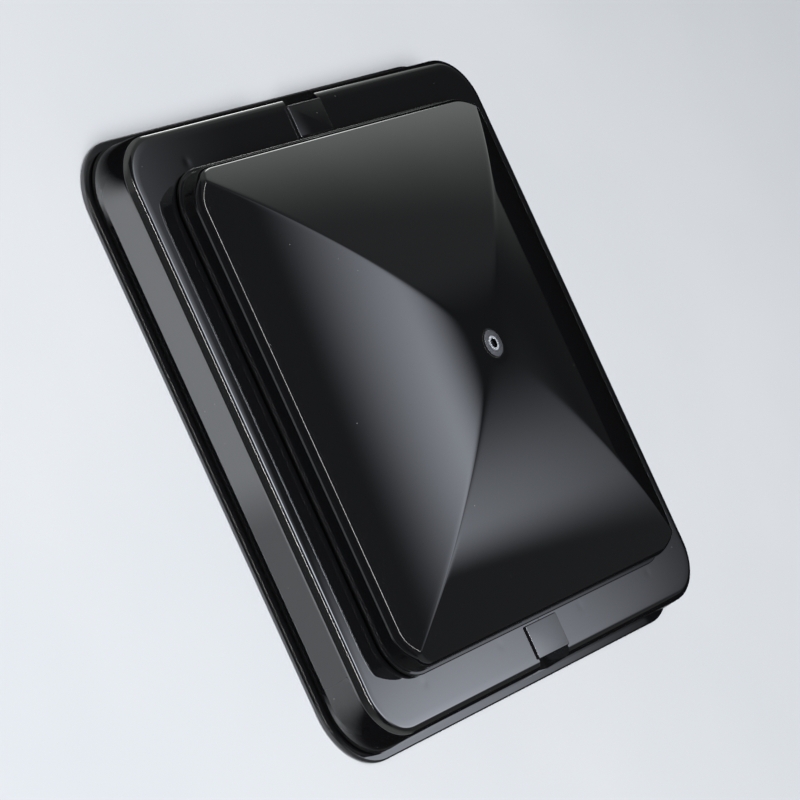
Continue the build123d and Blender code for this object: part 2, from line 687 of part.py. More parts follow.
def make_retaining_ring():
    washer = post(0, 0, RING_RADIUS, RING_BOTTOM, RING_TOP)
    washer -= post(0, 0, RING_GROOVE_RADIUS + SCREW_PLAY, RING_BOTTOM - CUT, RING_TOP + CUT)
    half = RING_GAP_WIDTH / 2
    washer -= cuboid(0, RING_RADIUS + CUT, -half, half, RING_BOTTOM - CUT, RING_TOP + CUT)
    return washer


def make_screen_frame():
    frame = ring(
        SCREEN_FRAME_HALF,
        SCREEN_FRAME_RADIUS,
        SCREEN_FRAME_INNER_HALF,
        SCREEN_FRAME_INNER_RADIUS,
        SCREEN_FRAME_BOTTOM,
        SCREEN_FRAME_TOP,
    )
    reach = SCREEN_FRAME_INNER_HALF + CUT
    half = SCREEN_RIB_WIDTH / 2
    frame += cuboid(-reach, reach, -half, half, SCREEN_FRAME_BOTTOM, SCREEN_FRAME_TOP)
    frame += cuboid(-half, half, -reach, reach, SCREEN_FRAME_BOTTOM, SCREEN_FRAME_TOP)
    frame += post(0, 0, SCREEN_RING_RADIUS, SCREEN_FRAME_BOTTOM, SCREEN_FRAME_TOP)
    frame -= post(0, 0, SCREEN_RING_BORE, SCREEN_FRAME_BOTTOM - CUT, SCREEN_FRAME_TOP + CUT)
    screw_hole = SCREEN_SCREW_RADIUS + SCREW_PLAY
    for x, y in screen_points():
        frame -= post(x, y, screw_hole, SCREEN_FRAME_BOTTOM - CUT, SCREEN_FRAME_TOP + CUT)
    return frame


def make_insect_screen():
    mesh = block(MESH_HALF, SCREEN_FRAME_RADIUS, MESH_BOTTOM, MESH_TOP)
    mesh -= post(0, 0, MESH_BORE, MESH_BOTTOM - CUT, MESH_TOP + CUT)
    for x, y in screen_points():
        mesh -= post(x, y, SCREEN_SCREW_RADIUS + SCREW_PLAY, MESH_BOTTOM - CUT, MESH_TOP + CUT)
    return mesh


def make_screen_screws():
    screws = []
    for x, y in screen_points():
        head_bottom = SCREEN_FRAME_BOTTOM - SCREEN_SCREW_HEAD_THICK
        screw = post(x, y, SCREEN_SCREW_HEAD_RADIUS, head_bottom, SCREEN_FRAME_BOTTOM)
        screw += post(x, y, SCREEN_SCREW_RADIUS, SCREEN_FRAME_BOTTOM, SCREEN_SCREW_TOP)
        slot = Box(2 * SCREEN_SCREW_HEAD_RADIUS, SCREEN_SCREW_SLOT_WIDTH, SCREEN_SCREW_HEAD_THICK)
        screw -= Pos(x, y, head_bottom) * slot
        screws.append(screw)
    return Compound(screws)


surround = make_surround()
nodes = {
    "base_frame": make_base_frame(),
    "roof_gasket": make_roof_gasket(),
    "surround_left": surround_half(surround, -1),
    "surround_right": surround_half(surround, 1),
    "joint_clip_front": make_joint_clip(-1),
    "joint_clip_rear": make_joint_clip(1),
    "clip_screws": make_clip_screws(),
    "coaming_seal": make_coaming_seal(),
    "screen_frame": make_screen_frame(),
    "insect_screen": make_insect_screen(),
    "screen_screws": make_screen_screws(),
    "cross_bar": make_cross_bar(),
    "bar_screws": make_bar_screws(),
    "guide_bushes": make_guide_bushes(),
    "cap_shell": make_cap_shell(),
    "spreader_plate": make_spreader_plate(),
    "plate_screws": make_plate_screws(),
    "lift_spindle": make_lift_spindle(),
    "guide_pins": make_guide_pins(),
    "centre_screw": make_centre_screw(),
    "centre_washer": make_centre_washer(),
    "sealing_washer": make_sealing_washer(),
    "hand_knob": make_hand_knob(),
    "lift_nut": make_lift_nut(),
    "thrust_washer": make_thrust_washer(),
    "retaining_ring": make_retaining_ring(),
}

os.makedirs("parts", exist_ok=True)
for name, solid in nodes.items():
    export_step(solid, f"parts/{name}.step")
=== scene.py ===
import json
import math

import bmesh
import bpy
from mathutils import Matrix, Vector


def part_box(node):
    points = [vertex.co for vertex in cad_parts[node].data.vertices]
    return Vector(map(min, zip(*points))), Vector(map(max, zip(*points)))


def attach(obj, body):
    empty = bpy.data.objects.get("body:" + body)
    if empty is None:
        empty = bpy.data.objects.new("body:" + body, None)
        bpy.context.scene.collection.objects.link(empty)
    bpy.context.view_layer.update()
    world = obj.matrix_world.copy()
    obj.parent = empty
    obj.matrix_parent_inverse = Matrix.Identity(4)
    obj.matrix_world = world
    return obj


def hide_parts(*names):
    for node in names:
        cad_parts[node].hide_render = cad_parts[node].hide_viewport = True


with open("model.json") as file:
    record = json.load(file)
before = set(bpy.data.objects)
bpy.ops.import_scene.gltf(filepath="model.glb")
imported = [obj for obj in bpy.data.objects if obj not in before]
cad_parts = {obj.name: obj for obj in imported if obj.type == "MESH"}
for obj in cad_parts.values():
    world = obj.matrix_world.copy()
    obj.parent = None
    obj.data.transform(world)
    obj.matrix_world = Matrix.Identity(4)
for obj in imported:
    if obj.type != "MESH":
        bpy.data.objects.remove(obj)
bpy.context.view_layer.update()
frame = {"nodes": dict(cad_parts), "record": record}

MM = 0.001

# Surround, from the record's frame: half widths, corner radii and heights in millimetres
FOOT_HALF = 224.0
FOOT_RADIUS = 41.0
FOOT_Z = 5.5
WALL_LEAN = math.radians(6.4)
FACE_ROUND = 6.5
SURROUND_SKIN = 2.5
INNER_HALF = 176.0
INNER_RADIUS = 22.0
INNER_ROUND = 0.8
FLANGE_TOP = 4.0
POCKET_HALF = 20.0
POCKET_BACK = 204.0
POCKET_FLOOR = 12.0
WINDOW_HALF = 11.0
CLIP_OUTER = 213.8
CLIP_SOFT = 0.7
CLIP_CORNER = 1.2
CLIP_LEG_HALF = 10.0
CLIP_LEG_INNER = 198.1
CLIP_LEG_OUTER = 200.6
CLIP_LEG_FOOT = 1.0
SPLIT_HALF = 0.2
SPLIT_FACE_INSET = 1.0
FOOT_EDGE = ((2.4, 0.0), (0.7, 0.0), (0.15, 0.2), (0.02, 0.7))
WALL_ROWS = (12.0, 20.0)
FACE_OUTER = 210.0
FACE_ROWS = (FACE_OUTER, 195.0, INNER_HALF + 6.0)
SIDE_STEPS = [0.0, 40.0, 80.0, 120.0, 150.0]

# Cap
RIM_HALF = 187.5
RIM_RADIUS = 33.0
WALL_HALF = 184.8
WALL_RADIUS = 30.5
ARC_RADIUS = 395.0
APEX = 98.9
SHOULDER_ROUND = 7.0
CAP_SKIN = 3.0
SEAT_RADIUS = 11.2
SEAT_Z = 97.4
SEAT_ROUND = 0.3
RIM_THICK = 2.6
RIM_ROUND = 0.9
WALL_FOOT_ROUND = 0.5
SPINDLE_BORE = 3.2
RIB_HALF = 176.5
RIB_RADIUS = 22.0
RIB_THICK = 3.0
RIB_BOTTOM = 46.3
RIB_SOFT = 0.4
CENTRE_BOSS_RADIUS = 13.0
BOSS_RADIUS = 5.0
BOSS_X = 40.0
BOSS_Y = 19.0
BOSS_BOTTOM = 88.0
ROOT = 0.5
HIP_SOFTNESS = 0.30
HIP_REACH = 30
RIM_FOOT = ((0.5, 0.0), (0.1, 0.1), (0.0, 0.5))
CAP_SIDE_STEPS = [0.0, 25.0, 50.0, 75.0, 100.0, 125.0, 145.0]
SLOPE_PROBE = 0.2
SOLVE_ROUNDS = 6
FIRST_FACET_SHARE = 0.002
SEAT_CORE = 0.26
BOSS_END_SHARES = (0.95, 0.3)

# Small turned pieces
WASHER_LEAD = 0.15
SCREW_LAND = 0.4
SCREW_SHANK = 3.0
SCREW_SOFT = 0.35
SOCKET_RADIUS = 3.7
SOCKET_DEPTH = 1.8
SOCKET_LEAD = 0.2
SOCKET_POINT = 0.1
SOCKET_MARGIN = 1.0

# Meshes: points closer than this merge, in millimetres; steps over rounds, facets and turned pieces
MERGE_WITHIN = 0.002
TURNED_SEGMENTS = 96
BOSS_SEGMENTS = 40
CORNER_STEPS = 16
CAP_CORNER_STEPS = 20
FILLET_STEPS = 4
LIP_STEPS = 5
RIM_STEPS = 6
FACE_EDGE_STEPS = 12
INSIDE_STEPS = 12
SHOULDER_STEPS = 18
FACET_STEPS = 30
RIDGE_SIDE_ANGLES = (0.35, 0.8, 1.4, 2.2, 3.4)
RIDGE_CLEAR_ANGLE = 4.5
CAD_SHARP_ANGLE = 28

# Dust: only cells above this share carry a speck
RARE_ABOVE = 0.80

# Dimples over the peg bosses, in metres
PEG_ROW = 0.193
PEG_STEPS = (0.055, 0.154)
DIMPLE_RADIUS = 0.0035
EULER = 2.718

# Floor, in metres
FLOOR_REACH = 9.0
FLOOR_DROP = 0.0005


def node_box_mm(name):
    low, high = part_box(name)
    return [c / MM for c in low], [c / MM for c in high]


FACE_Z = node_box_mm("surround_left")[1][2]
CAP_BOTTOM = node_box_mm("cap_shell")[0][2]


# ---------------------------------------------------------------- materials

def new_material(name):
    mat = bpy.data.materials.new(name)
    mat.use_nodes = True
    tree = mat.node_tree
    tree.nodes.clear()
    out = tree.nodes.new("ShaderNodeOutputMaterial")
    bsdf = tree.nodes.new("ShaderNodeBsdfPrincipled")
    tree.links.new(bsdf.outputs["BSDF"], out.inputs["Surface"])
    return mat, tree, bsdf


def math_node(tree, operation, a, b=None, clamp=False):
    made = tree.nodes.new("ShaderNodeMath")
    made.operation = operation
    made.use_clamp = clamp
    for index, value in enumerate((a, b)):
        if value is None:
            continue
        if isinstance(value, (int, float)):
            made.inputs[index].default_value = value
        else:
            tree.links.new(value, made.inputs[index])
    return made.outputs[0]


def position(tree):
    """Object coordinates in metres."""
    coords = tree.nodes.new("ShaderNodeTexCoord")
    return coords.outputs["Object"]


def noise(tree, scale, detail=3.0, roughness=0.5):
    made = tree.nodes.new("ShaderNodeTexNoise")
    made.inputs["Scale"].default_value = scale
    made.inputs["Detail"].default_value = detail
    made.inputs["Roughness"].default_value = roughness
    tree.links.new(position(tree), made.inputs["Vector"])
    return made.outputs["Fac"]


def ramp(tree, source, low, high, to_low=0.0, to_high=1.0):
    made = tree.nodes.new("ShaderNodeMapRange")
    made.inputs["From Min"].default_value = low
    made.inputs["From Max"].default_value = high
    made.inputs["To Min"].default_value = to_low
    made.inputs["To Max"].default_value = to_high
    tree.links.new(source, made.inputs["Value"])
    return made.outputs["Result"]


def mix_color(tree, factor, a, b):
    made = tree.nodes.new("ShaderNodeMix")
    made.data_type = "RGBA"
    tree.links.new(factor, made.inputs["Factor"])
    made.inputs["A"].default_value = (*a, 1.0)
    made.inputs["B"].default_value = (*b, 1.0)
    return made.outputs["Result"]


def bump(tree, height, strength, distance, normal=None):
    made = tree.nodes.new("ShaderNodeBump")
    made.inputs["Strength"].default_value = strength
    made.inputs["Distance"].default_value = distance
    tree.links.new(height, made.inputs["Height"])
    if normal is not None:
        tree.links.new(normal, made.inputs["Normal"])
    return made.outputs["Normal"]


def dust(tree, scale, size):
    """Rare tiny specks."""
    cells = tree.nodes.new("ShaderNodeTexVoronoi")
    cells.inputs["Scale"].default_value = scale
    tree.links.new(position(tree), cells.inputs["Vector"])
    near = math_node(tree, "LESS_THAN", cells.outputs["Distance"], size)
    separate = tree.nodes.new("ShaderNodeSeparateColor")
    tree.links.new(cells.outputs["Color"], separate.inputs["Color"])
    rare = math_node(tree, "GREATER_THAN", separate.outputs["Red"], RARE_ABOVE)
    return math_node(tree, "MULTIPLY", near, rare)


def gloss_plastic(name, base, waviness, roughness=0.045, coat_ior=1.75, specular=0.8, sinks=False):
    """Black plastic under a clear coat; the coat's index sets how much it mirrors."""
    mat, tree, bsdf = new_material(name)
    specks = dust(tree, scale=95.0, size=0.035)
    haze = noise(tree, scale=9.0, detail=4.0)
    dusty = math_node(tree, "MULTIPLY", specks, 0.35)
    tree.links.new(mix_color(tree, dusty, base, (0.45, 0.45, 0.44)), bsdf.inputs["Base Color"])
    fine = noise(tree, scale=700.0, detail=2.0)
    rough = math_node(
        tree,
        "ADD",
        ramp(tree, haze, 0.35, 0.70, to_low=roughness, to_high=roughness * 1.8),
        ramp(tree, fine, 0.60, 0.80, to_high=roughness * 0.6),
    )
    dull = math_node(tree, "MULTIPLY", specks, 0.3)
    tree.links.new(math_node(tree, "ADD", rough, dull), bsdf.inputs["Roughness"])
    bsdf.inputs["IOR"].default_value = 1.55
    bsdf.inputs["Specular IOR Level"].default_value = specular
    bsdf.inputs["Coat Weight"].default_value = 1.0
    bsdf.inputs["Coat Roughness"].default_value = 0.015
    bsdf.inputs["Coat IOR"].default_value = coat_ior
    wave = noise(tree, scale=7.0, detail=1.0)
    normal = bump(tree, wave, strength=1.0, distance=waviness)
    normal = bump(tree, fine, strength=0.10, distance=0.00002, normal=normal)
    if sinks:
        normal = bump(tree, sink_marks(tree), strength=1.0, distance=0.00006, normal=normal)
    tree.links.new(normal, bsdf.inputs["Normal"])
    tree.links.new(normal, bsdf.inputs["Coat Normal"])
    return mat


def sink_marks(tree):
    """Shallow dimples over the sixteen peg bosses under the surround's face."""
    coords = tree.nodes.new("ShaderNodeTexCoord")
    split = tree.nodes.new("ShaderNodeSeparateXYZ")
    tree.links.new(coords.outputs["Object"], split.inputs["Vector"])
    across_x = math_node(tree, "ABSOLUTE", split.outputs["X"])
    across_y = math_node(tree, "ABSOLUTE", split.outputs["Y"])
    far = math_node(tree, "MAXIMUM", across_x, across_y)
    along = math_node(tree, "MINIMUM", across_x, across_y)
    off_row = math_node(tree, "SUBTRACT", far, PEG_ROW)
    total = None
    for step in PEG_STEPS:
        off_step = math_node(tree, "SUBTRACT", along, step)
        squared = math_node(
            tree,
            "ADD",
            math_node(tree, "MULTIPLY", off_row, off_row),
            math_node(tree, "MULTIPLY", off_step, off_step),
        )
        power = math_node(tree, "MULTIPLY", squared, -1.0 / (DIMPLE_RADIUS ** 2))
        dip = math_node(tree, "POWER", EULER, power)
        total = dip if total is None else math_node(tree, "ADD", total, dip)
    return math_node(tree, "MULTIPLY", total, -1.0)


def satin_plastic(name, base):
    mat, tree, bsdf = new_material(name)
    grain = noise(tree, scale=900.0, detail=4.0)
    patch = noise(tree, scale=14.0, detail=3.0)
    lighter = tuple(min(1.0, c * 1.6 + 0.01) for c in base)
    worn = ramp(tree, patch, 0.35, 0.75, to_high=0.5)
    tree.links.new(mix_color(tree, worn, base, lighter), bsdf.inputs["Base Color"])
    tree.links.new(ramp(tree, patch, 0.3, 0.7, to_low=0.34, to_high=0.46), bsdf.inputs["Roughness"])
    tree.links.new(bump(tree, grain, strength=0.35, distance=0.00012), bsdf.inputs["Normal"])
    return mat


def rubber(name, base):
    mat, tree, bsdf = new_material(name)
    grain = noise(tree, scale=1300.0, detail=5.0)
    patch = noise(tree, scale=20.0, detail=3.0)
    bloom = ramp(tree, patch, 0.3, 0.7, to_high=0.6)
    tree.links.new(mix_color(tree, bloom, base, (0.05, 0.05, 0.048)), bsdf.inputs["Base Color"])
    tree.links.new(ramp(tree, grain, 0.3, 0.7, to_low=0.72, to_high=0.88), bsdf.inputs["Roughness"])
    tree.links.new(bump(tree, grain, strength=0.6, distance=0.0002), bsdf.inputs["Normal"])
    return mat


def metal(name, base, roughness, turned=False):
    mat, tree, bsdf = new_material(name)
    bsdf.inputs["Metallic"].default_value = 1.0
    patch = noise(tree, scale=60.0, detail=4.0)
    darker = tuple(c * 0.72 for c in base)
    tarnish = ramp(tree, patch, 0.3, 0.7, to_high=0.7)
    tree.links.new(mix_color(tree, tarnish, base, darker), bsdf.inputs["Base Color"])
    worn = ramp(tree, patch, 0.3, 0.7, to_low=roughness, to_high=roughness * 1.7)
    tree.links.new(worn, bsdf.inputs["Roughness"])
    if turned:
        rings = tree.nodes.new("ShaderNodeTexWave")
        rings.wave_type = "RINGS"
        rings.rings_direction = "Z"
        rings.inputs["Scale"].default_value = 900.0
        rings.inputs["Distortion"].default_value = 1.0
        tree.links.new(position(tree), rings.inputs["Vector"])
        height = rings.outputs["Fac"]
    else:
        height = noise(tree, scale=1500.0, detail=4.0)
    tree.links.new(bump(tree, height, strength=0.25, distance=0.00005), bsdf.inputs["Normal"])
    return mat


def mesh_cloth(name):
    mat, tree, bsdf = new_material(name)
    strands = []
    for direction in ("X", "Y"):
        wave = tree.nodes.new("ShaderNodeTexWave")
        wave.bands_direction = direction
        wave.inputs["Scale"].default_value = 190.0
        wave.inputs["Distortion"].default_value = 0.0
        tree.links.new(position(tree), wave.inputs["Vector"])
        strands.append(wave.outputs["Fac"])
    thread = math_node(tree, "MAXIMUM", strands[0], strands[1])
    cloth = mix_color(tree, ramp(tree, thread, 0.4, 0.9), (0.008, 0.008, 0.008), (0.09, 0.09, 0.095))
    tree.links.new(cloth, bsdf.inputs["Base Color"])
    tree.links.new(ramp(tree, thread, 0.45, 0.62, to_low=0.25), bsdf.inputs["Alpha"])
    tree.links.new(bump(tree, thread, strength=0.8, distance=0.0003), bsdf.inputs["Normal"])
    bsdf.inputs["Roughness"].default_value = 0.6
    return mat


BLACK = (0.0045, 0.0047, 0.0055)
MATERIALS = {
    "gloss_black_abs": gloss_plastic("gloss_black_abs", BLACK, waviness=0.00035),
    "satin_black_abs": satin_plastic("satin_black_abs", (0.022, 0.022, 0.024)),
    "black_epdm": rubber("black_epdm", (0.014, 0.014, 0.014)),
    "zinc_steel": metal("zinc_steel", (0.58, 0.58, 0.56), roughness=0.28),
    "stainless": metal("stainless", (0.62, 0.62, 0.63), roughness=0.16, turned=True),
    "acetal_white": satin_plastic("acetal_white", (0.72, 0.71, 0.66)),
    "brass": metal("brass", (0.70, 0.50, 0.22), roughness=0.22, turned=True),
    "glass_fibre_mesh": mesh_cloth("glass_fibre_mesh"),
}
CAP_GLOSS = gloss_plastic(
    "cap_gloss_black", BLACK, waviness=0.0003, roughness=0.03, coat_ior=1.38, specular=0.3
)
FACE_GLOSS = gloss_plastic(
    "surround_gloss_black", BLACK, waviness=0.0002, roughness=0.03, coat_ior=2.2, sinks=True
)
# Brighter copy of the stainless for the screw head: a painted highlight, so the head reads as lit
SCREW_HIGHLIGHT_METAL = metal("screw_painted_highlight", (0.90, 0.91, 0.93), roughness=0.46)
# Near-black copy of the stainless for the socket faces: painted shade in the recess
SOCKET_SHADE_METAL = metal("screw_socket_painted_shade", (0.035, 0.036, 0.04), roughness=0.5)
# Darker grey copy of the stainless for the centre washer: painted shade, so the ring reads dimmer than the
# screw head
WASHER_SHADE_METAL = metal("washer_painted_shade", (0.22, 0.22, 0.23), roughness=0.34)

for part in frame["record"]["subparts"]:
    shown = frame["nodes"][part["node"]]
    shown.data.materials.clear()
    shown.data.materials.append(MATERIALS[part["material_slot"]])
    shown.data.shade_smooth()
    shown.data.set_sharp_from_angle(angle=math.radians(CAD_SHARP_ANGLE))


# ---------------------------------------------------------------- meshes

def make_object(name, points, faces, material, sharp_angle):
    mesh = bpy.data.meshes.new(name)
    mesh.from_pydata([tuple(c * MM for c in p) for p in points], [], faces)
    mesh.validate()
    work = bmesh.new()
    work.from_mesh(mesh)
    bmesh.ops.remove_doubles(work, verts=work.verts, dist=MERGE_WITHIN * MM)
    bmesh.ops.recalc_face_normals(work, faces=work.faces)
    work.to_mesh(mesh)
    work.free()
    mesh.update()
    obj = bpy.data.objects.new(name, mesh)
    bpy.context.scene.collection.objects.link(obj)
    mesh.materials.append(material)
    mesh.shade_smooth()
    mesh.set_sharp_from_angle(angle=math.radians(sharp_angle))
    return obj


class Builder:
    """Collects points and faces in millimetres."""

    def __init__(self):
        self.points = []
        self.faces = []

    def add_row(self, row):
        start = len(self.points)
        self.points.extend(row)
        return list(range(start, start + len(row)))

    def skin(self, rows, closed):
        """Quads between rows of equal length; returns the rows' indices."""
        indices = [self.add_row(row) for row in rows]
        for low, high in zip(indices, indices[1:]):
            count = len(low)
            for i in range(count if closed else count - 1):
                j = (i + 1) % count
                self.faces.append((low[i], low[j], high[j], high[i]))
        return indices

    def polygon(self, points):
        self.faces.append(tuple(self.add_row(points)))


def quarter_turn(count):
    """Angles over a quarter turn in equal steps, both ends included."""
    return [math.pi / 2 * i / count for i in range(count + 1)]


def arc_angles(count, dense_middle=False):
    """Angles inside a quarter turn; dense near its middle when a ridge lies there."""
    angles = quarter_turn(count)[1:-1]
    if dense_middle:
        middle = math.pi / 4
        close = [math.radians(a) for a in RIDGE_SIDE_ANGLES]
        keep = [a for a in angles if abs(a - middle) > math.radians(RIDGE_CLEAR_ANGLE)]
        angles = sorted(keep + [middle] + [middle - a for a in close] + [middle + a for a in close])
    return angles


def corner_columns(steps, angles):
    """Column rules over one corner, from the middle of one side to the middle of the next.
    Each rule gives a point for any half width and radius."""
    rules = [lambda h, r, c=c: (h, c) for c in steps]
    rules.append(lambda h, r: (h, h - r))
    for a in angles:
        rules.append(lambda h, r, a=a: (h - r + r * math.cos(a), h - r + r * math.sin(a)))
    rules.append(lambda h, r: (h - r, h))
    rules += [lambda h, r, c=c: (c, h) for c in reversed(steps)]
    return rules


def turned(point, quarter):
    x, y = point
    for _ in range(quarter % 4):
        x, y = -y, x
    return x, y


def outline(rules, half, radius, quarters=(0, 1, 2, 3)):
    """The rounded square as points, without repeating the middle of a side."""
    points = []
    for quarter in quarters:
        section = [turned(rule(half, radius), quarter) for rule in rules]
        if points:
            section = section[1:]
        points += section
    return points


# ---- surround half: the whole right half, with a cut-out for each screw pocket

def surround_rows():
    """(half, radius, z) down the section: foot, leaning wall, rounded edge, face, inner edge, inner wall."""
    tan = math.tan(WALL_LEAN)
    rows = [(FOOT_HALF - inset, FOOT_Z + rise) for inset, rise in FOOT_EDGE]
    centre_z = FACE_Z - FACE_ROUND
    centre_half = FOOT_HALF - (centre_z - FOOT_Z) * tan - FACE_ROUND / math.cos(WALL_LEAN)
    for z in WALL_ROWS:
        rows.append((FOOT_HALF - (z - FOOT_Z) * tan, z))
    for i in range(FACE_EDGE_STEPS + 1):
        angle = WALL_LEAN + (math.pi / 2 - WALL_LEAN) * i / FACE_EDGE_STEPS
        rows.append((centre_half + FACE_ROUND * math.cos(angle), centre_z + FACE_ROUND * math.sin(angle)))
    outer = [(half, FOOT_RADIUS - (FOOT_HALF - half), z) for half, z in rows]
    inner = []
    radius_out = FOOT_RADIUS - (FOOT_HALF - FACE_OUTER)
    for half in FACE_ROWS:
        share = (half - INNER_HALF) / (FACE_OUTER - INNER_HALF)
        inner.append((half, INNER_RADIUS + (radius_out - INNER_RADIUS) * share, FACE_Z))
    for angle in quarter_turn(FILLET_STEPS):
        half = INNER_HALF + INNER_ROUND * (1 - math.sin(angle))
        z = FACE_Z - INNER_ROUND * (1 - math.cos(angle))
        inner.append((half, INNER_RADIUS + half - INNER_HALF, z))
    inner.append((INNER_HALF, INNER_RADIUS, FLANGE_TOP + 0.2))
    return outer, inner


def make_surround_half(name, side):
    outer, inner = surround_rows()
    rules = corner_columns(SIDE_STEPS, arc_angles(CORNER_STEPS))
    built = Builder()

    def row_points(half, radius, z, first_x):
        points = outline(rules, half, radius, quarters=(3, 0))
        points[0] = (first_x, -half)
        points[-1] = (first_x, half)
        return [(x, y, z) for x, y in points]

    built.skin([row_points(h, r, z, POCKET_HALF) for h, r, z in outer + inner], closed=False)
    for sign in (-1, 1):
        flat = [(CLIP_OUTER, FACE_Z)] + [(h, z) for h, r, z in inner]
        rows = [[(x, sign * h, z) for x in (SPLIT_HALF, POCKET_HALF)] for h, z in flat]
        built.skin(rows, closed=False)
        low = [(h, r, z) for h, r, z in outer if z <= POCKET_FLOOR]
        rows = [[(x, sign * h, z) for x in (SPLIT_HALF, POCKET_HALF)] for h, r, z in low]
        built.skin(rows, closed=False)
        profile = [(h, z) for h, r, z in outer if z >= POCKET_FLOOR]
        wall_foot = profile[0][0]
        side_wall = [(POCKET_BACK, POCKET_FLOOR)] + profile + [(POCKET_BACK, FACE_Z)]
        built.polygon([(POCKET_HALF, sign * h, z) for h, z in side_wall])
        built.polygon(
            [
                (SPLIT_HALF, sign * POCKET_BACK, POCKET_FLOOR),
                (POCKET_HALF, sign * POCKET_BACK, POCKET_FLOOR),
                (POCKET_HALF, sign * wall_foot, POCKET_FLOOR),
                (SPLIT_HALF, sign * wall_foot, POCKET_FLOOR),
            ]
        )
        built.polygon(
            [
                (WINDOW_HALF, sign * POCKET_BACK, POCKET_FLOOR),
                (POCKET_HALF, sign * POCKET_BACK, POCKET_FLOOR),
                (POCKET_HALF, sign * POCKET_BACK, FACE_Z),
                (WINDOW_HALF, sign * POCKET_BACK, FACE_Z),
            ]
        )
        built.polygon(
            [
                (SPLIT_HALF, sign * CLIP_OUTER, FACE_Z - SURROUND_SKIN),
                (POCKET_HALF, sign * CLIP_OUTER, FACE_Z - SURROUND_SKIN),
                (POCKET_HALF, sign * CLIP_OUTER, FACE_Z),
                (SPLIT_HALF, sign * CLIP_OUTER, FACE_Z),
            ]
        )
        split_face = [
            (CLIP_OUTER, FACE_Z - SURROUND_SKIN),
            (CLIP_OUTER, FACE_Z),
            (INNER_HALF + SPLIT_FACE_INSET, FACE_Z),
            (INNER_HALF + SPLIT_FACE_INSET, FACE_Z - SURROUND_SKIN),
        ]
        built.polygon([(SPLIT_HALF, sign * h, z) for h, z in split_face])
    points = built.points
    if side < 0:
        points = [(-x, -y, z) for x, y, z in points]
    return make_object(name, points, built.faces, FACE_GLOSS, sharp_angle=35)


def circle(radius, segments):
    return [(radius * math.cos(t), radius * math.sin(t)) for t in turn_angles(segments)]


def turn_angles(segments):
    return [2 * math.pi * k / segments for k in range(segments)]


# ---- cap shell

def dome(x, y, arc_radius, centre):
    """Height of the four facets, with the ridges very slightly softened."""
    along_x = centre + math.sqrt(arc_radius ** 2 - x * x)
    along_y = centre + math.sqrt(arc_radius ** 2 - y * y)
    low, high = sorted((along_x, along_y))
    gap = (high - low) / HIP_SOFTNESS
    if gap > HIP_REACH:
        return low
    return low - HIP_SOFTNESS * math.log(1 + math.exp(-gap))


